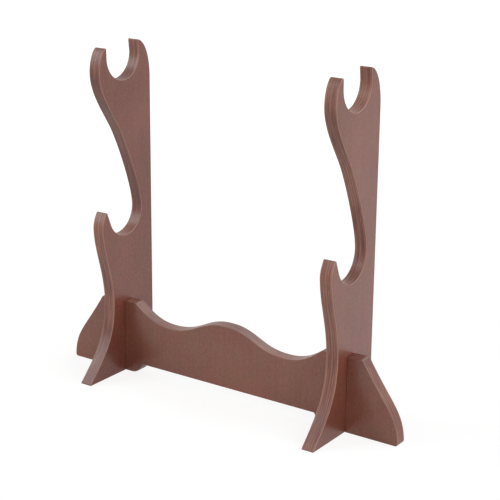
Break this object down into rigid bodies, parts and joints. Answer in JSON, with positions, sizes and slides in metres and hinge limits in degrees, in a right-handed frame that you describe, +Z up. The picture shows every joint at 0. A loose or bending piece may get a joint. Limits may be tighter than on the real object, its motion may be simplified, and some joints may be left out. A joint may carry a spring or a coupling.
{
  "type": "flute stand",
  "caption": "Knock-down plywood stand: pronged uprights with an upper and a lower cradle, joined by a wavy cross board in cross-lap joints.",
  "frame": {"origin": "on the surface it stands on, at the middle of the bounding box's bottom face", "axes": "+X along the cross board towards the right upright, +Y to the back, away from the feet and hooks, +Z up"},
  "size_m": [0.2716, 0.0706, 0.2372],
  "materials": {
    "left_upright": "brown stained plywood, satin lacquer",
    "right_upright": "brown stained plywood, satin lacquer",
    "cross_board": "brown stained plywood, satin lacquer"
  },
  "bodies": {
    "cross_board": {"cross_board": "cross_board"},
    "left_upright": {"left_upright": "left_upright"},
    "right_upright": {"right_upright": "right_upright"}
  },
  "joints": [
    {"name": "left_lift", "type": "slide", "parent": "cross_board", "child": "left_upright", "axis": [0, 0, 1], "range_m": [0, 0.055]},
    {"name": "right_lift", "type": "slide", "parent": "cross_board", "child": "right_upright", "axis": [0, 0, 1], "range_m": [0, 0.055]}
  ]
}
